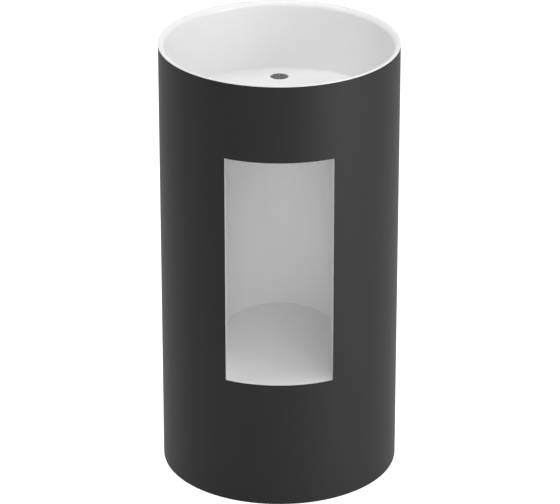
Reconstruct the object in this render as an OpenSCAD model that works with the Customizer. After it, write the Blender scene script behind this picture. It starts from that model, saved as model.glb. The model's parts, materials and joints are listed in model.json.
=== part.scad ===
// Freestanding round washbasin. A dark rolled column carries a white cast basin,
// a storage niche opens at the front and the waste run hides behind the niche.
// Millimetres. Origin on the floor at the centre of the footprint, +Z up, niche towards -Y.

/* [Column] */
// Outside diameter of the column
body_d = 450; // [440:5:500]
// Height from the floor to the rim
body_h = 850; // [830:5:900]
// Thickness of the rolled skin
skin_t = 3; // [2:0.5:4]
// Height of the rubber strip under the skin
strip_h = 2; // [1:0.5:3]

/* [Basin] */
// Width of the rim seen from above
rim_w = 12; // [11:0.5:16]
// Height of the white lip above the skin
lip_h = 2; // [1.5:0.5:4]
// Depth from the rim to the drain
basin_depth = 135; // [120:1:145]
// Thickness of the basin floor at the drain
basin_floor_t = 10.5; // [9.5:0.5:14]
// Fall of the basin floor towards the drain, in degrees
floor_fall = 1.7; // [0.5:0.1:2.5]
// Radius between the basin wall and its floor
basin_fillet = 3; // [3:0.5:12]
// Rounding of the rim's inner edge
rim_inner_round = 10; // [3:0.5:10.5]
// Rounding of the rim's outer edge
rim_outer_round = 0.8; // [0.3:0.1:1]
// Distance from the back of the basin wall to the drain's axis
drain_inset = 43; // [42:1:60]

/* [Niche] */
// Clear width of the niche and of its window
niche_w = 200; // [160:5:220]
// Height of the niche sill above the floor
sill_z = 250; // [235:5:300]
// Thickness of the bent niche wall
liner_t = 3; // [2:0.5:4]
// Thickness of the niche ceiling
ceiling_t = 4.5; // [3:0.5:8]
// Thickness of the niche shelf
shelf_t = 10; // [8:1:16]
// How far the shelf runs on outside the niche wall
shelf_margin = 9; // [6:1:14]
// Thickness of the deck under the shelf
deck_t = 4; // [3:0.5:6]

/* [Back] */
// Width of the service opening
service_w = 180; // [150:5:200]
// Height of the service opening's lower edge above the floor
service_z = 60; // [56:1:80]
// Distance from the screws under the basin down to the service opening
service_drop = 15; // [12:1:60]
// Gap around the service cover
cover_gap = 1.2; // [0.8:0.1:2]

/* [Waste] */
// Outside diameter of the waste pipe
pipe_d = 32; // [30:1:34]
// Wall thickness of the waste pipe
pipe_t = 1; // [0.8:0.1:1.5]
// Width of the ledge that the strainer rests on
ledge_w = 1.75; // [1.5:0.25:2.5]
// Outside diameter of the trap body
trap_d = 61; // [58:1:64]
// Length of the trap body below its neck
trap_len = 95; // [90:1:110]
// Height of the trap cup
cup_h = 46; // [40:1:50]
// Distance from the trap's axis to the floor outlet's axis
outlet_reach = 110; // [105:1:130]

/* [Fixing] */
// Thickness of the ring on the floor
floor_ring_t = 5; // [4:0.5:8]
// Width of the ring on the floor
floor_ring_w = 42; // [38:1:50]
// Diameter of the holes for the floor bolts
floor_hole_d = 9; // [7:0.5:11]
// Thickness of the ring under the basin
bowl_ring_t = 6; // [4:0.5:8]
// Width of the ring under the basin
bowl_ring_w = 17; // [15:1:22]
// Height of the column's floor brackets
bracket_h = 45; // [30:1:48]
// Plate thickness of brackets and lugs
plate_t = 4; // [3:0.5:5]

/* [Hidden] */
$fn = 128;

// Clearances
seat_gap = 0.3;      // between a fitted piece and the wall round it
turn_gap = 0.4;      // round pieces that turn or lift
thread_gap = 0.15;   // at a thread, which is drawn plain
hole_gap = 0.3;      // round a screw in a plain hole
waste_gap = 1;       // between the niche wall and the waste flange
edge_gap = 0.5;      // metal left beside a screw head, and play round a pipe in its socket
cut = 1;             // how far a cutting solid runs past a face

// Column
body_r = body_d / 2;
inner_r = body_r - skin_t;
fit_r = inner_r - seat_gap;
lip_seal_t = 0.6;
skin_top = body_h - lip_h - lip_seal_t;
strip_inset = 0.3;

// Basin
basin_r = body_r - rim_w;
drain_y = basin_r - drain_inset;
drain_z = body_h - basin_depth;
basin_under = drain_z - basin_floor_t;
wall_mid = body_h - basin_depth / 2;
fillet_z = drain_z + drain_y * tan(floor_fall) + basin_fillet / cos(floor_fall);
fillet_r = basin_r - basin_fillet + seat_gap;
rim_round = min(rim_inner_round, rim_w - rim_outer_round - edge_gap);

// Waste flange, from the pipe outwards
pipe_r = pipe_d / 2;
drain_r = pipe_r + ledge_w;
gasket_ri = drain_r + seat_gap;
gasket_w = 4;
gasket_ro = gasket_ri + gasket_w;
gasket_t = 2;
waste_screw_r = 1.5;
waste_head_r = 2.7;
waste_head_h = 2;
waste_screw_pitch = gasket_ro + waste_screw_r + edge_gap / 2;
waste_screw_reach = 3;
waste_screw_angles = [90, 210, 330];
neck_r = waste_screw_pitch - waste_head_r - thread_gap;
flange_r = waste_screw_pitch + waste_head_r + edge_gap;
flange_t = 4;
recess_h = 5;        // recess in the basin's underside for gasket and flange
flange_top = basin_under + recess_h - gasket_t;
neck_len = 36;
socket_len = 22;
socket_r = pipe_r + edge_gap;
socket_play = 2;     // between the tailpipe's top and the socket's end
neck_end = flange_top - flange_t - neck_len;

// Strainer
strainer_t = 1.2;
strainer_drop = 1.4; // from the drain's edge down to the plate
strainer_rise = drain_z - strainer_drop - strainer_t - flange_top;
skirt_h = 6;
skirt_t = 1;
button_r = 3.2;
button_h = 0.8;
slot_r = 1.9;
inner_slots = 0.42 * pipe_r;
outer_slots = 0.74 * pipe_r;

// Niche
niche_r = niche_w / 2;
niche_back = drain_y - flange_r - waste_gap - liner_t;
niche_cy = niche_back - niche_r;
niche_top = basin_under - ceiling_t;
niche_h = niche_top - sill_z;
shelf_r = niche_r + liner_t + shelf_margin;
deck_top = sill_z - shelf_t;
deck_under = deck_top - deck_t;
deck_notch_gap = 19; // round the tailpipe where it passes the deck
deck_notch_r = pipe_r + deck_notch_gap;

// Union nuts, the same on the waste and on both trap necks
nut_wall = 3.4;
nut_rib = 1.8;
nut_ribs = 10;
rib_w = 4;           // width of the grip ribs on nuts and trap cup
rib_short = 4;       // length that the ribs leave free at an end
nut_grip = 18;       // length over the thread
nut_lip_t = 3;
cone_seal_t = 3;
nut_len = nut_grip + cone_seal_t + nut_lip_t;

// Trap
trap_r = trap_d / 2;
trap_wall = 2.5;
trap_neck_len = 20;
trap_drop = 31;      // from the deck to the top of the trap's neck
trap_top = deck_under - trap_drop;
trap_shoulder = trap_top - trap_neck_len;
trap_end = trap_shoulder - trap_len;
cup_overlap = 18;
cup_top = trap_end + cup_overlap;
cup_bottom = cup_top - cup_h;
cup_ri = trap_r + turn_gap;
cup_ro = cup_ri + trap_wall;
cup_seal_t = 2;
well_r = trap_r - trap_wall - 1;
cup_ribs = 12;
cup_rib = 1.5;
branch_drop = 24;    // from the body's shoulder to the branch's axis
branch_z = trap_shoulder - branch_drop;
branch_len = 22;
branch_end = drain_y - trap_r - branch_len;
bend_r = 40;
outlet_entry = 16;   // how far the outlet pipe enters the branch
outlet_y = drain_y - outlet_reach;
pipe_foot = 1;       // height of the outlet pipe's end above the floor
pipe_clear = 6;      // from the end of the tailpipe to the bottom of the cup's well

// Fixings
quarter_angles = [45, 135, 225, 315];
floor_hole_angles = [0, 90, 180, 270];
floor_hole_edge = 10;    // from the ring's inner edge to the middle of its holes
floor_hole_pitch = fit_r - floor_ring_w + floor_hole_edge;
bolt_r = 4;
bolt_head_h = 5.3;
bolt_head_r = 7.5;
washer_r = 8;
washer_t = 1.6;
washer_play = 2;     // between a washer and the bracket's upright
bolt_pitch = inner_r - plate_t - washer_r - washer_play;
bracket_w = 40;
bracket_reach = 33;
screw_r = 3;
screw_head_r = 5.5;
screw_head_h = 3.3;
screw_tail = 2;      // how far a screw runs on past its thread plate
lug_w = 36;
lug_reach = 30;
lug_pitch = inner_r - lug_reach / 2;
bowl_screw_angles = [0, 60, 120, 180, 230, 310];
bowl_screw_pitch = inner_r - bowl_ring_w / 2;
bowl_screw_reach = 7;
bowl_ring_play = 6;  // beside the niche wall
bowl_ring_end = niche_r + liner_t + bowl_ring_play;

// Service opening and its cover
service_top = basin_under - bowl_ring_t - screw_head_h - service_drop;
service_h = service_top - service_z;
tab_w = 30;
tab_lap = 12;        // behind the skin, beside the opening
tab_h = 24;
tab_inset = 40;      // from the cover's ends to the middle of the end tabs
cover_screw_inset = 8;
cover_screw_r = 2;
cover_head_r = 4;
cover_head_t = 2;
cover_screw_len = 9;
head_sink = 0.25;    // how far a cover screw's head lies under the skin's face
cover_screw_x = service_w / 2 - cover_screw_inset;
cover_screw_turn = asin(cover_screw_x / body_r);
tab_heights = [
    service_z + tab_inset,
    (service_z + service_top) / 2,
    service_top - tab_inset
];

// ---- helpers ----

module tube(ri, ro, h) {
    difference() {
        cylinder(r = ro, h = h);
        translate([0, 0, -cut]) cylinder(r = ri, h = h + 2 * cut);
    }
}

// A tube cut to the width of a plate that stands across its radius
module curved_plate(ri, ro, w, h) {
    intersection() {
        tube(ri, ro, h);
        translate([0, -w / 2, 0]) cube([ro + cut, w, h]);
    }
}

// A corner that rounds off the end of a profile when it is taken away
module corner_cut(r) {
    difference() {
        square(r + cut);
        circle(r = r);
    }
}

// The niche in plan: straight sides and a half round back, ended at the skin
module niche_plan(r) {
    intersection() {
        circle(r = fit_r);
        union() {
            translate([0, niche_cy]) circle(r = r);
            translate([-r, -body_r]) square([2 * r, body_r + niche_cy]);
        }
    }
}

module around(angles, r) {
    for (a = angles) rotate([0, 0, a]) translate([r, 0, 0]) children();
}

module pan_screw(shank) {
    cylinder(r = screw_head_r, h = screw_head_h);
    translate([0, 0, -shank]) cylinder(r = screw_r, h = shank + cut);
}

// Union nut with its open end up at z = 0 and its lip below
module union_nut(thread_r) {
    ri = thread_r + thread_gap;
    ro = ri + nut_wall;
    difference() {
        union() {
            cylinder(r = ro, h = nut_len);
            for (i = [0 : nut_ribs - 1])
                rotate([0, 0, i * 360 / nut_ribs])
                    translate([ro - cut, -rib_w / 2, 0])
                        cube([nut_rib + cut, rib_w, nut_len - rib_short]);
        }
        translate([0, 0, nut_lip_t]) cylinder(r = ri, h = nut_len);
        translate([0, 0, -cut]) cylinder(r = socket_r, h = nut_len);
    }
}

module cone_seal(thread_r) {
    tube(pipe_r + thread_gap, thread_r - edge_gap, cone_seal_t);
}

// ---- column ----

module outer_skin() {
    color("#3b3b3c") difference() {
        translate([0, 0, strip_h]) tube(inner_r, body_r, skin_top - strip_h);
        translate([-niche_r, -body_r - cut, sill_z]) cube([niche_w, body_r, niche_h]);
        translate([-service_w / 2, cut, service_z]) cube([service_w, body_r, service_h]);
    }
}

module foot_strip() {
    color("#202020") tube(inner_r + strip_inset, body_r - strip_inset, strip_h);
}

module floor_ring() {
    color("silver") difference() {
        tube(fit_r - floor_ring_w, fit_r, floor_ring_t);
        around(floor_hole_angles, floor_hole_pitch)
            translate([0, 0, -cut]) cylinder(d = floor_hole_d, h = floor_ring_t + 2 * cut);
        around(quarter_angles, bolt_pitch)
            translate([0, 0, -cut]) cylinder(r = bolt_r + thread_gap, h = floor_ring_t + 2 * cut);
    }
}

module floor_brackets() {
    color("silver") for (a = quarter_angles) rotate([0, 0, a]) translate([0, 0, floor_ring_t])
        difference() {
            union() {
                curved_plate(inner_r - bracket_reach, inner_r, bracket_w, plate_t);
                curved_plate(inner_r - plate_t, inner_r, bracket_w, bracket_h);
            }
            translate([bolt_pitch, 0, -cut])
                cylinder(r = bolt_r + hole_gap, h = plate_t + 2 * cut);
        }
}

module bracket_washers() {
    color("lightgrey") around(quarter_angles, bolt_pitch)
        translate([0, 0, floor_ring_t + plate_t]) tube(bolt_r + hole_gap, washer_r, washer_t);
}

module bracket_bolts() {
    seat = floor_ring_t + plate_t + washer_t;
    color("grey") around(quarter_angles, bolt_pitch) translate([0, 0, seat]) {
        cylinder(r = bolt_head_r, h = bolt_head_h, $fn = 6);
        translate([0, 0, -seat + cut]) cylinder(r = bolt_r, h = seat);
    }
}

// ---- deck and niche ----

module deck_lugs() {
    color("silver") for (a = quarter_angles) rotate([0, 0, a]) translate([0, 0, deck_under - plate_t])
        difference() {
            curved_plate(inner_r - lug_reach, inner_r, lug_w, plate_t);
            translate([lug_pitch, 0, -cut])
                cylinder(r = screw_r + thread_gap, h = plate_t + 2 * cut);
        }
}

module deck_plate() {
    color("#c9c9c4") translate([0, 0, deck_under]) difference() {
        cylinder(r = fit_r, h = deck_t);
        translate([0, drain_y, -cut]) cylinder(r = deck_notch_r, h = deck_t + 2 * cut);
        translate([-deck_notch_r, drain_y, -cut])
            cube([2 * deck_notch_r, body_r, deck_t + 2 * cut]);
        around(quarter_angles, lug_pitch)
            translate([0, 0, -cut]) cylinder(r = screw_r + hole_gap, h = deck_t + 2 * cut);
    }
}

module deck_screws() {
    color("grey") around(quarter_angles, lug_pitch)
        translate([0, 0, deck_top]) pan_screw(deck_t + plate_t + screw_tail);
}

module niche_shelf() {
    color("white") translate([0, 0, deck_top]) linear_extrude(shelf_t) niche_plan(shelf_r);
}

module niche_liner() {
    color("white") translate([0, 0, sill_z]) linear_extrude(niche_h) difference() {
        niche_plan(niche_r + liner_t);
        union() {
            translate([0, niche_cy]) circle(r = niche_r);
            translate([-niche_r, -body_r - cut]) square([niche_w, body_r + cut + niche_cy]);
        }
    }
}

module niche_ceiling() {
    color("white") translate([0, 0, niche_top]) linear_extrude(ceiling_t)
        niche_plan(niche_r + liner_t);
}

// ---- basin ----

module bowl_ring() {
    color("silver") translate([0, 0, basin_under - bowl_ring_t]) difference() {
        tube(inner_r - bowl_ring_w, inner_r, bowl_ring_t);
        translate([-bowl_ring_end, -body_r, -cut])
            cube([2 * bowl_ring_end, body_r, bowl_ring_t + 2 * cut]);
        around(bowl_screw_angles, bowl_screw_pitch)
            translate([0, 0, -cut]) cylinder(r = screw_r + hole_gap, h = bowl_ring_t + 2 * cut);
    }
}

module bowl_screws() {
    color("grey") around(bowl_screw_angles, bowl_screw_pitch)
        translate([0, 0, basin_under - bowl_ring_t]) mirror([0, 0, 1])
            pan_screw(bowl_ring_t + bowl_screw_reach);
}

module lip_seal() {
    color("#303030") translate([0, 0, skin_top])
        tube(inner_r + strip_inset, body_r - 2 * strip_inset, lip_seal_t);
}

// Half section of the basin, hollow only above the middle of its wall
module basin_profile() {
    difference() {
        union() {
            translate([0, basin_under]) square([fit_r, body_h - basin_under]);
            translate([0, body_h - lip_h]) square([body_r, lip_h]);
        }
        translate([body_r - rim_outer_round, body_h - rim_outer_round])
            corner_cut(rim_outer_round);
        translate([0, wall_mid]) square([basin_r, basin_depth]);
        difference() {
            translate([basin_r - cut, body_h - rim_round])
                square([rim_round + cut, rim_round + cut]);
            translate([basin_r + rim_round, body_h - rim_round])
                circle(r = rim_round);
        }
    }
}

// Lower part of the hollow. Floor and fillet lean towards the drain, the wall is upright
// and cuts off the fillet's last degrees.
module low_hollow() {
    translate([0, 0, fillet_z]) intersection() {
        translate([0, 0, -basin_depth])
            cylinder(r = basin_r, h = basin_depth + wall_mid - fillet_z + cut);
        rotate([-floor_fall, 0, 0]) {
            rotate_extrude() {
                translate([0, -basin_fillet]) square([fillet_r, basin_fillet]);
                translate([fillet_r, 0]) circle(r = basin_fillet);
            }
            translate([-body_d, -body_d, -cut]) cube([2 * body_d, 2 * body_d, basin_depth]);
        }
    }
}

module basin_bowl() {
    color("#f2f2f0") difference() {
        rotate_extrude() basin_profile();
        low_hollow();
        translate([0, drain_y, 0]) {
            translate([0, 0, basin_under - cut])
                cylinder(r = drain_r, h = basin_floor_t + 3 * cut);
            translate([0, 0, basin_under - cut])
                cylinder(r = flange_r + seat_gap, h = recess_h + cut);
            around(waste_screw_angles, waste_screw_pitch) translate([0, 0, basin_under])
                cylinder(r = waste_screw_r + thread_gap / 2, h = recess_h + waste_screw_reach);
        }
        around(bowl_screw_angles, bowl_screw_pitch) translate([0, 0, basin_under - cut])
            cylinder(r = screw_r + thread_gap, h = bowl_screw_reach + 2 * cut);
    }
}

// ---- waste ----

module waste_gasket() {
    color("#2a2a2a") translate([0, drain_y, flange_top]) tube(gasket_ri, gasket_ro, gasket_t);
}

module waste_body() {
    color("silver") translate([0, drain_y, flange_top - flange_t]) difference() {
        union() {
            cylinder(r = flange_r, h = flange_t);
            translate([0, 0, -neck_len]) cylinder(r = neck_r, h = neck_len + cut);
        }
        translate([0, 0, -neck_len - cut]) cylinder(r = pipe_r, h = neck_len + flange_t + 2 * cut);
        translate([0, 0, -neck_len - cut]) cylinder(r = socket_r, h = socket_len + cut);
        around(waste_screw_angles, waste_screw_pitch)
            translate([0, 0, -cut])
                cylinder(r = waste_screw_r + thread_gap / 2, h = flange_t + 2 * cut);
    }
}

module waste_screws() {
    shank = flange_t + gasket_t + waste_screw_reach - edge_gap;
    color("grey") translate([0, drain_y, flange_top - flange_t])
        around(waste_screw_angles, waste_screw_pitch) {
            translate([0, 0, -waste_head_h]) cylinder(r = waste_head_r, h = waste_head_h);
            translate([0, 0, -cut]) cylinder(r = waste_screw_r, h = shank + cut);
        }
}

// Perforated cup that lifts out: a plate on a ring, a centring skirt and a low middle button
module strainer() {
    top_z = strainer_rise + strainer_t;
    color("#8c8c8c") translate([0, drain_y, flange_top]) difference() {
        union() {
            tube(pipe_r - turn_gap - skirt_t, drain_r - turn_gap, top_z);
            translate([0, 0, -skirt_h])
                tube(pipe_r - turn_gap - skirt_t, pipe_r - turn_gap, skirt_h + strainer_t);
            translate([0, 0, strainer_rise]) {
                cylinder(r = pipe_r - turn_gap, h = strainer_t);
                cylinder(r = button_r, h = strainer_t + button_h);
            }
        }
        translate([0, 0, strainer_rise - cut]) {
            around([0 : 60 : 300], inner_slots) cylinder(r = slot_r, h = strainer_t + 2 * cut);
            around([15 : 30 : 345], outer_slots) cylinder(r = slot_r, h = strainer_t + 2 * cut);
        }
    }
}

module waste_nut() {
    color("silver") translate([0, drain_y, neck_end - cone_seal_t - nut_lip_t]) union_nut(neck_r);
}

module waste_nut_seal() {
    color("#2a2a2a") translate([0, drain_y, neck_end - cone_seal_t]) cone_seal(neck_r);
}

module tailpipe() {
    low = cup_bottom + trap_wall + pipe_clear;
    color("silver") translate([0, drain_y, low])
        tube(pipe_r - pipe_t, pipe_r, neck_end + socket_len - socket_play - low);
}

module trap_nut() {
    color("white") translate([0, drain_y, trap_top + cone_seal_t + nut_lip_t])
        mirror([0, 0, 1]) union_nut(neck_r);
}

module trap_nut_seal() {
    color("#2a2a2a") translate([0, drain_y, trap_top]) cone_seal(neck_r);
}

module trap_body() {
    color("white") translate([0, drain_y, 0]) difference() {
        union() {
            translate([0, 0, trap_end]) cylinder(r = trap_r, h = trap_len);
            translate([0, 0, trap_shoulder - cut]) cylinder(r = neck_r, h = trap_neck_len + cut);
            translate([0, 0, branch_z]) rotate([90, 0, 0])
                cylinder(r = neck_r, h = drain_y - branch_end);
        }
        translate([0, 0, trap_end - cut])
            cylinder(r = trap_r - trap_wall, h = trap_len - trap_wall + cut);
        translate([0, 0, trap_shoulder - 2 * trap_wall])
            cylinder(r = socket_r, h = trap_neck_len + 4 * trap_wall);
        translate([0, 0, branch_z]) rotate([90, 0, 0])
            cylinder(r = socket_r, h = drain_y - branch_end + cut);
    }
}

module trap_cup() {
    color("white") translate([0, drain_y, cup_bottom]) difference() {
        union() {
            cylinder(r = cup_ro, h = cup_h);
            for (i = [0 : cup_ribs - 1])
                rotate([0, 0, i * 360 / cup_ribs])
                    translate([cup_ro - cut, -rib_w / 2, rib_short])
                        cube([cup_rib + cut, rib_w, cup_h - 3 * rib_short]);
        }
        translate([0, 0, trap_wall]) cylinder(r = well_r, h = cup_h);
        translate([0, 0, cup_h - cup_overlap - cup_seal_t - seat_gap])
            cylinder(r = cup_ri, h = cup_h);
    }
}

module trap_cup_seal() {
    color("#2a2a2a") translate([0, drain_y, trap_end - cup_seal_t - seat_gap])
        tube(trap_r - trap_wall, trap_r - turn_gap, cup_seal_t);
}

module outlet_nut() {
    color("white") translate([0, branch_end - cone_seal_t - nut_lip_t, branch_z])
        rotate([-90, 0, 0]) union_nut(neck_r);
}

module outlet_nut_seal() {
    color("#2a2a2a") translate([0, branch_end - cone_seal_t, branch_z])
        rotate([-90, 0, 0]) cone_seal(neck_r);
}

// Centre line of the outlet, as solid round bar: out of the trap's branch, round a
// quarter bend and down towards the floor
module outlet_bar(r, over) {
    run = branch_end + outlet_entry - outlet_y - bend_r;
    drop = branch_z - bend_r;
    translate([0, bend_r, branch_z]) rotate([-90, 0, 0]) cylinder(r = r, h = run + over);
    translate([0, bend_r, drop]) rotate([90, 0, -90]) rotate_extrude(angle = 90)
        translate([bend_r, 0]) circle(r = r);
    translate([0, 0, pipe_foot - over]) cylinder(r = r, h = drop - pipe_foot + over);
}

module outlet_bend() {
    color("#d8d8d8") translate([0, outlet_y, 0]) difference() {
        outlet_bar(pipe_r, 0);
        outlet_bar(pipe_r - pipe_t, cut);
    }
}

// ---- service cover ----

module service_cover() {
    color("#3b3b3c") difference() {
        intersection() {
            translate([0, 0, service_z + cover_gap])
                tube(inner_r, body_r, service_h - 2 * cover_gap);
            translate([cover_gap - service_w / 2, cut, 0])
                cube([service_w - 2 * cover_gap, body_r, body_h]);
        }
        at_cover_screws() {
            translate([0, 0, body_r - head_sink - cover_head_t])
                cylinder(r1 = cover_screw_r + hole_gap, r2 = cover_head_r + hole_gap, h = cover_head_t);
            translate([0, 0, body_r - head_sink]) cylinder(r = cover_head_r + hole_gap, h = cut);
            translate([0, 0, body_r - cover_screw_len])
                cylinder(r = cover_screw_r + hole_gap, h = cover_screw_len);
        }
    }
}

// Repeats a piece at each cover screw, with its +Z axis pointing out of the column
module at_cover_screws() {
    for (h = tab_heights)
        for (side = [-1, 1])
            translate([0, 0, h]) rotate([0, 0, side * cover_screw_turn]) rotate([-90, 0, 0])
                children();
}

module cover_tabs() {
    tab_x = service_w / 2 - tab_w / 2 + tab_lap;
    color("silver") difference() {
        for (h = tab_heights)
            for (side = [-1, 1])
                intersection() {
                    translate([0, 0, h - tab_h / 2]) tube(inner_r - plate_t, inner_r, tab_h);
                    translate([side * tab_x - tab_w / 2, cut, 0]) cube([tab_w, body_r, body_h]);
                }
        at_cover_screws() cylinder(r = cover_screw_r + thread_gap, h = body_r);
    }
}

module cover_screws() {
    color("#303030") at_cover_screws() translate([0, 0, body_r - head_sink]) {
        translate([0, 0, -cover_head_t])
            cylinder(r1 = cover_screw_r, r2 = cover_head_r, h = cover_head_t);
        translate([0, 0, -cover_screw_len])
            cylinder(r = cover_screw_r, h = cover_screw_len - cover_head_t / 2);
    }
}

outer_skin();
foot_strip();
floor_ring();
floor_brackets();
bracket_washers();
bracket_bolts();
deck_lugs();
deck_plate();
deck_screws();
niche_shelf();
niche_liner();
niche_ceiling();
bowl_ring();
bowl_screws();
lip_seal();
basin_bowl();
waste_gasket();
waste_body();
waste_screws();
strainer();
waste_nut();
waste_nut_seal();
tailpipe();
trap_nut();
trap_nut_seal();
trap_body();
trap_cup();
trap_cup_seal();
outlet_nut();
outlet_nut_seal();
outlet_bend();
service_cover();
cover_tabs();
cover_screws();
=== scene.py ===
"""Freestanding round washbasin: fine meshes, finishes, light and camera round the CAD frame.

All sizes are in metres, in the frame's axes: origin on the floor under the column, +Z up,
niche towards -Y, waste towards +Y.
"""
import json
import math

import bmesh
import bpy
from mathutils import Matrix, Vector

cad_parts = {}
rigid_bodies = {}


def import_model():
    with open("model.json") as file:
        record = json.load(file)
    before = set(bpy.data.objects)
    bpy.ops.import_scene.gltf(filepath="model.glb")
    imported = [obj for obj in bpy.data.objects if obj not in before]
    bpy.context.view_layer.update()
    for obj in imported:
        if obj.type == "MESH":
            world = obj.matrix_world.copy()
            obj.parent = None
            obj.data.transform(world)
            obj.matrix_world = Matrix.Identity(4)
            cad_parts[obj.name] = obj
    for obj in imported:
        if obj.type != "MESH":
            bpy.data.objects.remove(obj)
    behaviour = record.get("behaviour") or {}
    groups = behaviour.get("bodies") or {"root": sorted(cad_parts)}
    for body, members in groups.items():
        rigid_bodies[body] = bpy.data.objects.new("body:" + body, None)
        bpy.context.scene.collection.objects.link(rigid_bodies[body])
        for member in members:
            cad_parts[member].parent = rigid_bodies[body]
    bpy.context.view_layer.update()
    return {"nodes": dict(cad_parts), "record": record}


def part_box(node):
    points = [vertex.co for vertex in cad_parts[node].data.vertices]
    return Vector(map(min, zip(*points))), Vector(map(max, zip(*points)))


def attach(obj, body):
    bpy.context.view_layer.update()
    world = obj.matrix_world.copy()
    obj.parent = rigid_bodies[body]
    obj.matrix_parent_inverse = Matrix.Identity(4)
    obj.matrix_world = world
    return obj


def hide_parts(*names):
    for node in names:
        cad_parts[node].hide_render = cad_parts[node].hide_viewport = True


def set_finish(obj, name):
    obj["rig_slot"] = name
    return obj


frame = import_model()

TAU = 2 * math.pi
MM = 0.001

# ---- sizes taken from the frame ----

skin_lo, skin_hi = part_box("outer_skin")
bowl_lo, bowl_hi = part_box("basin_bowl")
liner_lo, liner_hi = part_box("niche_liner")
strainer_lo, strainer_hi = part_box("strainer")
cover_lo, cover_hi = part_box("service_cover")
gasket_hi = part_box("waste_gasket")[1]
flange_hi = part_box("waste_body")[1]

# Column. What stands inside the skin keeps SLACK from it
SLACK = 0.3 * MM
BODY_R = skin_hi.x
SKIN_T = 3 * MM
INNER_R = BODY_R - SKIN_T
FIT_R = INNER_R - SLACK
BODY_H = bowl_hi.z

# Basin
RIM_W = 12 * MM
LIP_H = 2 * MM
BASIN_R = BODY_R - RIM_W
BASIN_FILLET = 3 * MM
RIM_INNER_ROUND = 10 * MM
RIM_OUTER_ROUND = 0.8 * MM
FLOOR_FALL = math.radians(1.7)
DRAIN_R = 17.75 * MM
DRAIN_EDGE = 1.4 * MM
DRAIN_DEPTH = 135 * MM
DRAIN = Vector((0, (strainer_lo.y + strainer_hi.y) / 2, BODY_H - DRAIN_DEPTH))

# Niche and openings
LINER_T = 3 * MM
NICHE_R = liner_hi.x - LINER_T
NICHE_CY = liner_hi.y - LINER_T - NICHE_R
SILL_Z = liner_lo.z
HEAD_Z = liner_hi.z
SERVICE_X = 90 * MM
COVER_GAP = 1.2 * MM
SERVICE_LO = cover_lo.z - COVER_GAP
SERVICE_HI = cover_hi.z + COVER_GAP
SKIN_EDGE = 0.4 * MM
LINER_EDGE = 0.3 * MM

# Faces of the rebuilt pieces
ROUND_COUNT = 256
LEVEL_STEP = 30 * MM

# CAD nodes that keep their shape and get rounded edges of this width
EASED = {
    "niche_shelf": 0.5 * MM, "niche_ceiling": 0.4 * MM, "strainer": 0.2 * MM,
    "floor_ring": 0.4 * MM, "floor_brackets": 0.4 * MM, "bracket_washers": 0.2 * MM,
    "bracket_bolts": 0.4 * MM, "deck_lugs": 0.4 * MM, "deck_plate": 0.3 * MM, "deck_screws": 0.4 * MM,
    "bowl_ring": 0.3 * MM, "bowl_screws": 0.4 * MM, "waste_body": 0.4 * MM, "waste_screws": 0.25 * MM,
    "waste_nut": 0.35 * MM, "tailpipe": 0.2 * MM, "trap_nut": 0.35 * MM, "trap_body": 0.5 * MM,
    "trap_cup": 0.5 * MM, "outlet_nut": 0.35 * MM, "outlet_bend": 0.4 * MM, "cover_tabs": 0.3 * MM,
}

# Studio floor: rings of paper that glows for the camera, except inside the column's foot, where darker
# paper with no glow is painted shade
FOOT_HOLE_R = BODY_R - 40 * MM
PAPER_RINGS = (0.001, FOOT_HOLE_R, 0.5, 2, 6, 14)
PAPER_COUNT = 64
PAPER_COLOR = (0.8, 0.8, 0.8)
PAPER_SHADE_COLOR = (0.5, 0.5, 0.5)
PAPER_GLOW = 0.75

# Share of the surround's white that lights the object
WORLD_LIGHT = 0.35

# Lamps: width and height of each kind
LAMP_DISTANCE = 4
WALL_SIZE = (3.4, 3.4)
LAMP_SIZE = (1.25, 1.25)
STRIP_SIZE = (0.35, 1.8)
STRIP_Z = 0.9

# Camera, as fitted to the column's sides and to its rim and foot
CAMERA_PLACE = (0, -5.9249, 3.1084)
CAMERA_TILT = math.radians(65.612)
SENSOR_MM = 36
LENS_MM = 219.89
SHIFT_X = 0.00113
SHIFT_Y = 0.0003


# ---- mesh helpers ----

def finish_piece(bm, name, body, slot, replaced, smooth_angle=30):
    """Turns a bmesh into a smooth-shaded piece that rides on a body and stands for CAD nodes."""
    bmesh.ops.recalc_face_normals(bm, faces=bm.faces)
    mesh = bpy.data.meshes.new(name)
    bm.to_mesh(mesh)
    bm.free()
    mesh.shade_smooth()
    mesh.set_sharp_from_angle(angle=math.radians(smooth_angle))
    piece = bpy.data.objects.new(name, mesh)
    bpy.context.scene.collection.objects.link(piece)
    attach(piece, body)
    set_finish(piece, slot)
    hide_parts(*replaced)
    return piece


def skin_rings(bm, rings, closed_tube=False):
    """Quads between successive closed rings, which have equal numbers of points."""
    rows = [[bm.verts.new(p) for p in ring] for ring in rings]
    count = len(rows[0])
    following = rows[1:] + rows[:1] if closed_tube else rows[1:]
    for a, b in zip(rows, following):
        for i in range(count):
            j = (i + 1) % count
            bm.faces.new((a[i], a[j], b[j], b[i]))
    return rows


def arc(cx, cz, r, start, end, steps):
    """Points of a circular arc in a profile, angles in degrees, ends included."""
    return [
        (cx + r * math.cos(a), cz + r * math.sin(a))
        for a in (math.radians(start + (end - start) * i / steps) for i in range(steps + 1))
    ]


def bevel(piece, width, segments=3, angle=30):
    """Rounded edges as a modifier, with the large faces kept flat."""
    mod = piece.modifiers.new("edge_round", "BEVEL")
    mod.width = width
    mod.segments = segments
    mod.limit_method = "ANGLE"
    mod.angle_limit = math.radians(angle)
    mod.harden_normals = True
    return piece


# ---- materials ----

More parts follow.
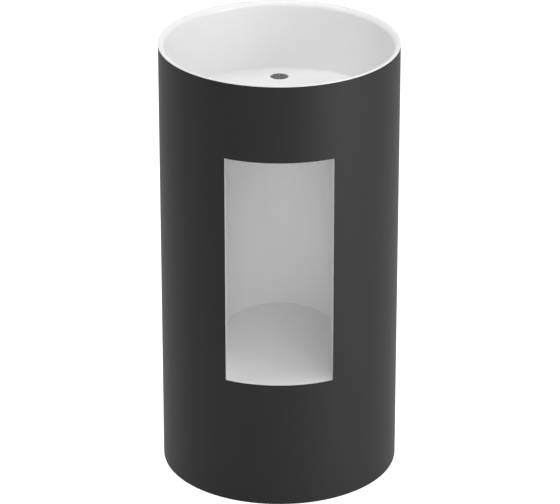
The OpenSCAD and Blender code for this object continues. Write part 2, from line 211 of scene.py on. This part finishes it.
class Finish:
    """A node material: patterns on object coordinates vary its colour, roughness and bump."""

    def __init__(self, name, roughness=0.5, metallic=0.0, specular=0.5):
        self.material = bpy.data.materials.new(name)
        self.material.use_nodes = True
        self.nodes = self.material.node_tree.nodes
        self.links = self.material.node_tree.links
        self.shader = self.nodes["Principled BSDF"]
        self.shader.inputs["Roughness"].default_value = roughness
        self.shader.inputs["Metallic"].default_value = metallic
        self.shader.inputs["Specular IOR Level"].default_value = specular
        self.coords = self.nodes.new("ShaderNodeTexCoord").outputs["Object"]

    def stretched(self, scale):
        """Object coordinates stretched per axis, for brushed and drawn patterns."""
        node = self.nodes.new("ShaderNodeMapping")
        node.inputs["Scale"].default_value = scale
        self.links.new(self.coords, node.inputs["Vector"])
        return node.outputs["Vector"]

    def noise(self, scale, detail=2.0, roughness=0.5, vector=None):
        """Fractal noise, on the object coordinates unless vector says otherwise."""
        node = self.nodes.new("ShaderNodeTexNoise")
        node.inputs["Scale"].default_value = scale
        node.inputs["Detail"].default_value = detail
        node.inputs["Roughness"].default_value = roughness
        self.links.new(vector or self.coords, node.inputs["Vector"])
        return node.outputs["Fac"]

    def cells(self, scale, output="Distance"):
        """A Voronoi pattern, for flecks and spangles."""
        node = self.nodes.new("ShaderNodeTexVoronoi")
        node.inputs["Scale"].default_value = scale
        self.links.new(self.coords, node.inputs["Vector"])
        return node.outputs[output]

    def spread(self, value, low, high, from_low=0.3, from_high=0.7):
        """A pattern's value mapped to low..high."""
        node = self.nodes.new("ShaderNodeMapRange")
        for key, number in zip(("From Min", "From Max", "To Min", "To Max"),
                               (from_low, from_high, low, high)):
            node.inputs[key].default_value = number
        self.links.new(value, node.inputs["Value"])
        return node.outputs["Result"]

    def maths(self, operation, a, b):
        """One sum or product of patterns and numbers."""
        node = self.nodes.new("ShaderNodeMath")
        node.operation = operation
        for socket, value in zip(node.inputs, (a, b)):
            if isinstance(value, (int, float)):
                socket.default_value = value
            else:
                self.links.new(value, socket)
        return node.outputs[0]

    def color(self, value, stops):
        """Base colour from a pattern through a ramp of (position, rgb) stops."""
        node = self.nodes.new("ShaderNodeValToRGB")
        elements = node.color_ramp.elements
        while len(elements) < len(stops):
            elements.new(0.5)
        for element, (place, rgb) in zip(elements, stops):
            element.position = place
            element.color = (*rgb, 1)
        self.links.new(value, node.inputs["Fac"])
        self.links.new(node.outputs["Color"], self.shader.inputs["Base Color"])

    def rough(self, value, low, high):
        """Roughness from a pattern, between low and high."""
        self.links.new(self.spread(value, low, high), self.shader.inputs["Roughness"])

    def bump(self, *layers):
        """Bumps laid over each other: (height, strength, distance) each."""
        normal = None
        for height, strength, distance in layers:
            node = self.nodes.new("ShaderNodeBump")
            node.inputs["Strength"].default_value = strength
            node.inputs["Distance"].default_value = distance
            self.links.new(height, node.inputs["Height"])
            if normal:
                self.links.new(normal, node.inputs["Normal"])
            normal = node.outputs["Normal"]
        self.links.new(normal, self.shader.inputs["Normal"])


def grey(value, warm=0.0):
    """A neutral linear colour, a little warmer or cooler by warm."""
    return (value * (1 + warm), value, value * (1 - warm))


def powder_coat():
    """Fine matt charcoal coating: cloudy thickness, tiny pits and an even orange peel."""
    f = Finish("powder_coat", roughness=0.6, specular=0.195)
    cloud = f.noise(7, detail=3)
    grain = f.noise(1500, detail=2, roughness=0.6)
    pattern = f.maths("ADD", f.maths("MULTIPLY", cloud, 0.5), f.maths("MULTIPLY", grain, 0.5))
    f.color(pattern, [(0.36, grey(0.0098)), (0.5, grey(0.0110)), (0.66, grey(0.0125))])
    f.rough(f.noise(420, detail=3), 0.56, 0.64)
    f.bump((f.noise(520, detail=2), 0.10, 0.25 * MM), (grain, 0.10, 0.06 * MM))
    return f.material


def white_glaze():
    """Satin cast basin: almost even white with soft clouds and a fine even grain."""
    f = Finish("white_glaze", roughness=0.3, specular=0.4)
    f.color(f.noise(9, detail=3), [(0.3, grey(0.832, 0.002)), (0.7, grey(0.846, 0.002))])
    f.rough(f.noise(60, detail=3), 0.28, 0.34)
    f.bump((f.noise(700, detail=2), 0.05, 0.03 * MM),)
    return f.material


def white_enamel():
    """Satin enamel on bent steel, with a fine orange peel."""
    f = Finish("white_enamel", roughness=0.45, specular=0.4)
    f.color(f.noise(9, detail=3), [(0.3, grey(0.86)), (0.7, grey(0.875))])
    f.rough(f.noise(240, detail=2), 0.42, 0.5)
    f.bump((f.noise(430, detail=2), 0.10, 0.2 * MM),)
    return f.material


def mineral_board():
    """Cast mineral shelf: satin white with pale flecks in it."""
    f = Finish("mineral_board", roughness=0.4, specular=0.45)
    flecks = f.cells(520)
    cloud = f.noise(14, detail=4)
    pattern = f.maths("ADD", f.maths("MULTIPLY", flecks, 0.35), f.maths("MULTIPLY", cloud, 0.65))
    f.color(pattern, [(0.3, grey(0.845, 0.002)), (0.5, grey(0.86, 0.002)), (0.7, grey(0.875))])
    f.rough(f.noise(180, detail=3), 0.36, 0.44)
    f.bump((f.noise(700, detail=2), 0.08, 0.1 * MM),)
    return f.material


def rubber():
    """Matt black rubber with dusty pores."""
    f = Finish("rubber", roughness=0.75, specular=0.35)
    f.color(f.noise(600, detail=3), [(0.35, grey(0.014)), (0.7, grey(0.026))])
    f.rough(f.noise(90, detail=3), 0.68, 0.82)
    f.bump((f.noise(1100, detail=3), 0.25, 0.12 * MM),)
    return f.material


def silicone():
    """Dark grey sealant, pulled smooth along its joint."""
    f = Finish("silicone", roughness=0.45, specular=0.4)
    drawn = f.noise(60, detail=3, vector=f.stretched((1, 1, 14)))
    f.color(drawn, [(0.3, grey(0.016)), (0.7, grey(0.021))])
    f.rough(drawn, 0.4, 0.52)
    f.bump((drawn, 0.2, 0.15 * MM),)
    return f.material


def zinc_plate():
    """Zinc plated sheet: spangled grains, rolling marks and a dull bloom."""
    f = Finish("zinc_plate", roughness=0.4, metallic=1.0)
    spangle = f.cells(140, "Color")
    rolled = f.noise(30, detail=4, vector=f.stretched((1, 1, 12)))
    pattern = f.maths("ADD", f.maths("MULTIPLY", spangle, 0.4), f.maths("MULTIPLY", rolled, 0.6))
    f.color(pattern, [(0.2, grey(0.46, -0.01)), (0.5, grey(0.54, -0.01)), (0.8, grey(0.62))])
    f.rough(rolled, 0.32, 0.5)
    f.bump((rolled, 0.12, 0.1 * MM), (f.noise(800, detail=2), 0.1, 0.04 * MM))
    return f.material


def screw_metal(name, dark, light, metallic, rough):
    """Turned and tumbled screw metal, with fine rings round the shank."""
    f = Finish(name, roughness=rough[0], metallic=metallic)
    turned = f.noise(500, detail=3, vector=f.stretched((0.3, 0.3, 4)))
    f.color(turned, [(0.3, grey(dark)), (0.7, grey(light))])
    f.rough(f.noise(260, detail=3), *rough)
    f.bump((turned, 0.15, 0.05 * MM),)
    return f.material


def chrome():
    """Polished chrome on brass, with faint water marks."""
    f = Finish("chrome", roughness=0.08, metallic=1.0)
    marks = f.noise(70, detail=5, roughness=0.65)
    f.color(marks, [(0.4, grey(0.74, -0.008)), (0.75, grey(0.8, -0.005))])
    f.rough(marks, 0.05, 0.16)
    f.bump((f.noise(40, detail=2), 0.03, 0.2 * MM),)
    return f.material


def brushed_steel():
    """Brushed stainless strainer plate, brushed across, with a used dull tone."""
    f = Finish("brushed_steel", roughness=0.4, metallic=1.0)
    brushed = f.noise(420, detail=4, vector=f.stretched((0.06, 1, 1)))
    f.color(brushed, [(0.3, grey(0.19)), (0.7, grey(0.26))])
    f.rough(brushed, 0.36, 0.52)
    f.bump((brushed, 0.2, 0.04 * MM),)
    return f.material


def moulded_plastic(name, tone, rough):
    """Moulded white polypropylene: flow clouds, and the fine spark texture of its mould."""
    f = Finish(name, roughness=rough[0], specular=0.45)
    flow = f.noise(16, detail=3, vector=f.stretched((1, 1, 0.3)))
    f.color(flow, [(0.3, grey(tone * 0.97, 0.006)), (0.7, grey(tone, 0.004))])
    f.rough(f.noise(300, detail=3), *rough)
    f.bump((f.noise(1000, detail=2), 0.08, 0.06 * MM), (flow, 0.05, 0.3 * MM))
    return f.material


FINISHES = {
    "skin_dark": powder_coat(),
    "basin_white": white_glaze(),
    "niche_white": white_enamel(),
    "niche_shelf_white": mineral_board(),
    "rubber_black": rubber(),
    "sealant_grey": silicone(),
    "zinc_steel": zinc_plate(),
    "screw_steel": screw_metal("screw_steel", dark=0.42, light=0.56, metallic=1.0, rough=(0.25, 0.38)),
    "screw_dark": screw_metal("screw_dark", dark=0.018, light=0.03, metallic=0.4, rough=(0.38, 0.52)),
    "waste_chrome": chrome(),
    "strainer_steel": brushed_steel(),
    "trap_white": moulded_plastic("trap_plastic", tone=0.80, rough=(0.3, 0.42)),
    "pipe_white": moulded_plastic("pipe_plastic", tone=0.74, rough=(0.4, 0.52)),
}


# ---- visible shells ----

def circle_ring(cx, cy, r, z, count):
    """A level circle of points round (cx, cy)."""
    return [
        Vector((cx + r * math.cos(TAU * i / count), cy + r * math.sin(TAU * i / count), z))
        for i in range(count)
    ]


def blend_rings(a, b, steps):
    """Rings between a and b, without a and with b."""
    return [[p.lerp(q, k / steps) for p, q in zip(a, b)] for k in range(1, steps + 1)]


def lathe_rings(profile, count, cx=0.0, cy=0.0):
    """Rings of a revolved profile of (radius, height) points."""
    return [circle_ring(cx, cy, r, z, count) for r, z in profile]


def floor_height(y):
    """Height of the basin's leaning floor at y. It falls towards the drain, at the back."""
    return DRAIN.z + (DRAIN.y - y) * math.tan(FLOOR_FALL)


def fillet_rings(count, steps):
    """Rings of the rolling fillet between the leaning floor and the upright wall."""
    down = Vector((0, -math.sin(FLOOR_FALL), -math.cos(FLOOR_FALL)))
    turn_r = BASIN_R - BASIN_FILLET
    rings = []
    for k in range(steps + 1):
        share = k / steps
        ring = []
        for i in range(count):
            out = Vector((math.cos(TAU * i / count), math.sin(TAU * i / count), 0))
            centre = out * turn_r
            centre.z = floor_height(centre.y) + BASIN_FILLET / math.cos(FLOOR_FALL)
            ring.append(centre + down.slerp(out, share) * BASIN_FILLET)
        rings.append(ring)
    return rings


def drain_rings(count, steps):
    """Rings of the drain's rounded edge, which follows the leaning floor."""
    profile = [
        (r, DRAIN.z + z)
        for r, z in arc(DRAIN_R + DRAIN_EDGE, -DRAIN_EDGE, DRAIN_EDGE, 180, 90, steps)
    ]
    return [
        [p + Vector((0, 0, floor_height(p.y) - DRAIN.z)) for p in ring]
        for ring in lathe_rings(profile, count, DRAIN.x, DRAIN.y)
    ]


def rim_rings(count, under):
    """Rings of the rim, the lip and the basin's outside, from the wall's top down to under."""
    inner = RIM_INNER_ROUND
    outer = RIM_OUTER_ROUND
    lip_z = BODY_H - LIP_H
    lip_round = 0.3 * MM
    outside_middle_z = BODY_H - 40 * MM
    under_edge = 1 * MM
    profile = (
        arc(BASIN_R + inner, BODY_H - inner, inner, 180, 90, steps=16)
        + arc(BODY_R - outer, BODY_H - outer, outer, 90, 0, steps=6)
        + arc(BODY_R - lip_round, lip_z + lip_round, lip_round, 0, -90, steps=3)
        + [(FIT_R, lip_z), (FIT_R, outside_middle_z), (FIT_R, under + under_edge),
           (FIT_R - under_edge, under)]
    )
    return lathe_rings(profile, count)


def basin():
    """One closed shell: drain edge, leaning floor, fillet, wall, rim, lip, outside and underside."""
    count = ROUND_COUNT
    under = bowl_lo.z
    wall_middle_z = BODY_H - 60 * MM
    recess_r = flange_hi.x + SLACK
    recess_top = gasket_hi.z
    drain = drain_rings(count, steps=5)
    fillet = fillet_rings(count, steps=8)
    wall = lathe_rings([(BASIN_R, wall_middle_z)], count)
    rim = rim_rings(count, under)
    recess = lathe_rings(
        [(recess_r, under), (recess_r, recess_top), (DRAIN_R, recess_top)], count, DRAIN.x, DRAIN.y)
    rings = (
        drain
        + blend_rings(drain[-1], fillet[0], steps=22)
        + fillet[1:]
        + blend_rings(fillet[-1], wall[0], steps=4)
        + blend_rings(wall[0], rim[0], steps=3)
        + rim[1:]
        + blend_rings(rim[-1], recess[0], steps=10)
        + recess[1:]
    )
    bm = bmesh.new()
    skin_rings(bm, rings, closed_tube=True)
    return finish_piece(bm, "basin", "column", "basin_white", ["basin_bowl"], smooth_angle=40)


def opening_angle(x, r, front):
    """Angle round the column at which a wall of radius r reaches x, in front or at the back."""
    a = math.acos(x / r)
    return -a if front else a


def shell_columns(spans):
    """Columns of (outer angle, inner angle) between successive edges, each span split evenly."""
    columns = []
    for start, end, steps in spans:
        for i in range(steps):
            columns.append(tuple(s + (e - s) * i / steps for s, e in zip(start, end)))
    return columns


def levels(stops, step):
    """Heights from the first stop to the last, each stretch split evenly at about step."""
    out = []
    for a, b in zip(stops, stops[1:]):
        n = max(1, round((b - a) / step))
        out += [a + (b - a) * i / n for i in range(n)]
    return out + [stops[-1]]


def shell(r_out, r_in, columns, heights, is_open):
    """A round wall of two curved faces, with openings where is_open(column, level) says so."""
    bm = bmesh.new()
    count = len(columns)
    grid = {}

    def vert(i, j, side):
        """The point of column i at height j, on side 0 (outer) or 1 (inner), made once."""
        i %= count
        if (i, j, side) not in grid:
            r = (r_out, r_in)[side]
            a = columns[i][side]
            grid[i, j, side] = bm.verts.new((r * math.cos(a), r * math.sin(a), heights[j]))
        return grid[i, j, side]

    solid = {
        (i, j)
        for i in range(count) for j in range(len(heights) - 1)
        if not is_open(i, j)
    }
    for i, j in solid:
        for side in (0, 1):
            bm.faces.new([vert(i, j, side), vert(i + 1, j, side),
                          vert(i + 1, j + 1, side), vert(i, j + 1, side)])
        edges = {
            ((i - 1) % count, j): ((i, j), (i, j + 1)),
            ((i + 1) % count, j): ((i + 1, j), (i + 1, j + 1)),
            (i, j - 1): ((i, j), (i + 1, j)),
            (i, j + 1): ((i, j + 1), (i + 1, j + 1)),
        }
        for neighbour, (p, q) in edges.items():
            if neighbour not in solid:
                bm.faces.new([vert(*p, 0), vert(*q, 0), vert(*q, 1), vert(*p, 1)])
    return bm


def column_skin():
    """Rolled skin with the niche window in front and the service opening behind."""
    window_x = NICHE_R
    window_steps, side_steps, service_steps = 40, 92, 36
    edges = [
        [opening_angle(x, r, front) for r in (BODY_R, INNER_R)]
        for x, front in ((-window_x, True), (window_x, True), (SERVICE_X, False), (-SERVICE_X, False))
    ]
    around = edges + [[a + TAU for a in edges[0]]]
    steps = (window_steps, side_steps, service_steps, side_steps)
    columns = shell_columns(zip(around, around[1:], steps))
    heights = levels([skin_lo.z, SERVICE_LO, SILL_Z, SERVICE_HI, HEAD_Z, skin_hi.z], LEVEL_STEP)
    service_from = window_steps + side_steps
    service_to = service_from + service_steps

    def is_open(i, j):
        """Whether this face lies in the window or in the service opening."""
        middle = (heights[j] + heights[j + 1]) / 2
        in_window = i < window_steps and SILL_Z < middle < HEAD_Z
        in_service = service_from <= i < service_to and SERVICE_LO < middle < SERVICE_HI
        return in_window or in_service

    bm = shell(BODY_R, INNER_R, columns, heights, is_open)
    piece = finish_piece(bm, "column_skin", "column", "skin_dark", ["outer_skin"])
    return bevel(piece, SKIN_EDGE)


def u_path(r, reach_r, side_steps, back_steps):
    """Plan of the niche wall: down one side, round the back and up the other side."""
    front_y = -math.sqrt(reach_r ** 2 - r ** 2)
    side = [(r, front_y + (NICHE_CY - front_y) * i / side_steps) for i in range(side_steps)]
    back = [
        (r * math.cos(math.pi * i / back_steps), NICHE_CY + r * math.sin(math.pi * i / back_steps))
        for i in range(back_steps + 1)
    ]
    return side + back + [(-x, y) for x, y in reversed(side)]


def niche_wall():
    """Bent steel wall of the niche, open towards the window."""
    side_steps, back_steps = 8, 48
    inside = u_path(NICHE_R, FIT_R, side_steps, back_steps)
    outside = u_path(NICHE_R + LINER_T, FIT_R, side_steps, back_steps)
    plan = inside + outside[::-1]
    heights = levels([SILL_Z, HEAD_Z], LEVEL_STEP)
    bm = bmesh.new()
    rows = skin_rings(bm, [[Vector((x, y, z)) for x, y in plan] for z in heights])
    half = len(plan) // 2
    for row in (rows[0], rows[-1]):
        for i in range(half - 1):
            bm.faces.new((row[i], row[i + 1], row[-2 - i], row[-1 - i]))
    piece = finish_piece(bm, "niche_wall", "column", "niche_white", ["niche_liner"])
    return bevel(piece, LINER_EDGE, segments=2)


def band(name, node, slot, rounding):
    """A ring with rounded corners that stands for a CAD ring above or below the skin."""
    lo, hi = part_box(node)
    outer = hi.x - rounding
    inner = INNER_R + SLACK + rounding
    bottom = lo.z + rounding
    top = hi.z - rounding
    profile = (
        arc(outer, top, rounding, 90, 0, steps=3) + arc(outer, bottom, rounding, 0, -90, steps=3)
        + arc(inner, bottom, rounding, 270, 180, steps=3) + arc(inner, top, rounding, 180, 90, steps=3)
    )
    bm = bmesh.new()
    skin_rings(bm, lathe_rings(profile, ROUND_COUNT), closed_tube=True)
    return finish_piece(bm, name, "column", slot, [node], smooth_angle=50)


def hexagon_ring(reach, z, count):
    """A hexagon as a ring of count points, reach being half its width across flats."""
    side = TAU / 6
    ring = []
    for i in range(count):
        a = TAU * i / count
        off_middle = (a + side / 2) % side - side / 2
        r = reach / math.cos(off_middle)
        ring.append(Vector((r * math.cos(a), r * math.sin(a), z)))
    return ring


def cover_screws():
    """Six flush countersunk screws with hexagon sockets, heads outwards."""
    count = 48
    head_r = 4 * MM
    head_t = 2 * MM
    shank_r = 2 * MM
    length = 9 * MM
    sunk = 0.25 * MM
    tip_edge = 0.4 * MM
    cone_edge = 0.15 * MM
    head_edge = 0.05 * MM
    face_edge = 0.2 * MM
    socket_reach = 1.25 * MM
    socket_edge = 0.1 * MM
    socket_depth = 1.6 * MM
    socket_cone = 0.5 * MM
    socket_rim = 1.2 * MM
    pole_r = 0.01 * MM
    screws_x = SERVICE_X - 8 * MM
    lo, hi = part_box("cover_screws")
    outline = [
        (pole_r, -length), (shank_r - tip_edge, -length), (shank_r, -length + tip_edge),
        (shank_r, -head_t), (head_r - cone_edge, -cone_edge), (head_r - head_edge, -head_edge),
        (head_r - face_edge, 0), (socket_reach + socket_rim, 0),
    ]
    rings = lathe_rings(outline, count) + [
        hexagon_ring(socket_reach + socket_edge, 0, count),
        hexagon_ring(socket_reach, -socket_edge, count),
        hexagon_ring(socket_reach, -socket_depth, count),
        circle_ring(0, 0, pole_r, -socket_depth - socket_cone, count),
    ]
    turn = math.asin(screws_x / BODY_R)
    bm = bmesh.new()
    for z in (lo.z + head_r, (lo.z + hi.z) / 2, hi.z - head_r):
        for side in (-1, 1):
            out = Vector((side * math.sin(turn), math.cos(turn), 0))
            place = Matrix.Translation(out * (BODY_R - sunk) + Vector((0, 0, z)))
            place @= out.to_track_quat("Z", "Y").to_matrix().to_4x4()
            rows = skin_rings(bm, [[place @ p for p in ring] for ring in rings])
            bm.faces.new(rows[0])
            bm.faces.new(rows[-1])
    return finish_piece(bm, "cover_screws_socket", "column", "screw_dark", ["cover_screws"])


def eased(node, body, slot, width, merge=0.01 * MM, flat=math.radians(0.4)):
    """A CAD node's own shape with its hard edges rounded off: it stands for that node."""
    bm = bmesh.new()
    bm.from_mesh(frame["nodes"][node].data)
    bmesh.ops.remove_doubles(bm, verts=bm.verts, dist=merge)
    bmesh.ops.dissolve_limit(bm, angle_limit=flat, verts=bm.verts, edges=bm.edges)
    piece = finish_piece(bm, node + "_eased", body, slot, [node])
    return bevel(piece, width, segments=2, angle=35)


# ---- pieces ----

basin()
column_skin()
niche_wall()
cover_screws()
band("foot_band", "foot_strip", "rubber_black", rounding=0.4 * MM)
band("seal_band", "lip_seal", "sealant_grey", rounding=0.1 * MM)
body_of = {}
for body, nodes in frame["record"]["behaviour"]["bodies"].items():
    for node in nodes:
        body_of[node] = body
for part in frame["record"]["subparts"]:
    if part["node"] in EASED:
        eased(part["node"], body_of[part["node"]], part["material_slot"], EASED[part["node"]])


# ---- finishes on every piece ----

for part in frame["record"]["subparts"]:
    node = frame["nodes"][part["node"]]
    node.data.materials.clear()
    node.data.materials.append(FINISHES[part["material_slot"]])
for obj in bpy.context.scene.objects:
    if obj.type == "MESH" and "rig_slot" in obj:
        obj.data.materials.clear()
        obj.data.materials.append(FINISHES[obj["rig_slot"]])


# ---- studio ----

def studio_material(name, color, camera_glow):
    """Diffuse stage paper that also shows at least camera_glow to the camera and in reflections."""
    mat = bpy.data.materials.new(name)
    mat.use_nodes = True
    nodes, links = mat.node_tree.nodes, mat.node_tree.links
    nodes.clear()
    paper = nodes.new("ShaderNodeBsdfDiffuse")
    paper.inputs["Color"].default_value = (*color, 1)
    glow = nodes.new("ShaderNodeEmission")
    path = nodes.new("ShaderNodeLightPath")
    seen = nodes.new("ShaderNodeMath")
    seen.operation = "MAXIMUM"
    links.new(path.outputs["Is Camera Ray"], seen.inputs[0])
    links.new(path.outputs["Is Glossy Ray"], seen.inputs[1])
    level = nodes.new("ShaderNodeMath")
    level.operation = "MULTIPLY"
    level.inputs[1].default_value = camera_glow
    links.new(seen.outputs[0], level.inputs[0])
    links.new(level.outputs[0], glow.inputs["Strength"])
    both = nodes.new("ShaderNodeAddShader")
    links.new(paper.outputs[0], both.inputs[0])
    links.new(glow.outputs[0], both.inputs[1])
    out = nodes.new("ShaderNodeOutputMaterial")
    links.new(both.outputs[0], out.inputs["Surface"])
    return mat


def studio_floor():
    """Pale disc. Inside the column's foot the paper is darker and has no glow, as painted shade under
    the column, so that the inside stays dark.
    """
    bm = bmesh.new()
    skin_rings(bm, lathe_rings([(r, 0) for r in PAPER_RINGS], PAPER_COUNT))
    for face in bm.faces:
        face.material_index = 0 if face.calc_center_median().length < FOOT_HOLE_R else 1
    mesh = bpy.data.meshes.new("studio_floor")
    bm.to_mesh(mesh)
    bm.free()
    floor = bpy.data.objects.new("studio_floor", mesh)
    bpy.context.scene.collection.objects.link(floor)
    # Inside the foot: darker paper with no glow, painted shade under the column
    mesh.materials.append(studio_material("studio_paper_painted_shade", PAPER_SHADE_COLOR, camera_glow=0.0))
    mesh.materials.append(studio_material("studio_paper", PAPER_COLOR, camera_glow=PAPER_GLOW))


def studio_world():
    """White surround, which lights less than it shows to the camera and in reflections."""
    world = bpy.data.worlds.new("studio")
    world.use_nodes = True
    nodes, links = world.node_tree.nodes, world.node_tree.links
    background = nodes["Background"]
    background.inputs["Color"].default_value = (1, 1, 1, 1)
    path = nodes.new("ShaderNodeLightPath")
    seen = path.outputs["Is Camera Ray"]
    for ray in ("Is Glossy Ray", "Is Transmission Ray"):
        either = nodes.new("ShaderNodeMath")
        either.operation = "MAXIMUM"
        links.new(seen, either.inputs[0])
        links.new(path.outputs[ray], either.inputs[1])
        seen = either.outputs[0]
    level = nodes.new("ShaderNodeMapRange")
    level.inputs["To Min"].default_value = WORLD_LIGHT
    level.inputs["To Max"].default_value = 1.0
    links.new(seen, level.inputs["Value"])
    links.new(level.outputs["Result"], background.inputs["Strength"])
    bpy.context.scene.world = world


def lamp(name, azimuth, elevation, size, power, aim_z=BODY_H / 2):
    """A soft area lamp aimed at the column. Azimuth 0 is in front, 90 to the right."""
    a = math.radians(azimuth)
    e = math.radians(elevation)
    way = Vector((math.sin(a) * math.cos(e), -math.cos(a) * math.cos(e), math.sin(e)))
    data = bpy.data.lights.new(name, "AREA")
    data.shape = "RECTANGLE"
    data.size = size[0]
    data.size_y = size[1]
    data.energy = power
    piece = bpy.data.objects.new(name, data)
    piece.location = Vector((0, 0, aim_z)) + way * LAMP_DISTANCE
    piece.rotation_mode = "QUATERNION"
    piece.rotation_quaternion = way.to_track_quat("Z", "Y")
    bpy.context.scene.collection.objects.link(piece)
    return piece


def studio_lamps():
    """Broad walls of light in front and to the right, small lamps from above, and one strip."""
    walls = (
        lamp("wall_front", azimuth=0, elevation=15, size=WALL_SIZE, power=40.5),
        lamp("wall_front_right", azimuth=45, elevation=30, size=WALL_SIZE, power=21),
        lamp("wall_right", azimuth=75, elevation=20, size=WALL_SIZE, power=50),
    )
    for wall in walls:
        wall.visible_glossy = False
    lamp("key", azimuth=27, elevation=44, size=LAMP_SIZE, power=16)
    lamp("top", azimuth=0, elevation=89.9, size=LAMP_SIZE, power=26.5)
    lamp("left", azimuth=-90, elevation=50, size=LAMP_SIZE, power=12)
    lamp("back_left", azimuth=-108, elevation=70, size=LAMP_SIZE, power=22)
    strip = lamp("highlight_strip", azimuth=55, elevation=0, size=STRIP_SIZE, power=195, aim_z=STRIP_Z)
    strip.visible_diffuse = False


def studio_camera():
    """The photo's view, from in front and a little above."""
    data = bpy.data.cameras.new("camera")
    data.sensor_width = SENSOR_MM
    data.lens = LENS_MM
    data.shift_x = SHIFT_X
    data.shift_y = SHIFT_Y
    camera = bpy.data.objects.new("camera", data)
    camera.location = CAMERA_PLACE
    camera.rotation_euler = (CAMERA_TILT, 0, 0)
    bpy.context.scene.collection.objects.link(camera)
    bpy.context.scene.camera = camera


studio_floor()
studio_world()
studio_lamps()
studio_camera()
bpy.context.scene.view_settings.view_transform = "Standard"
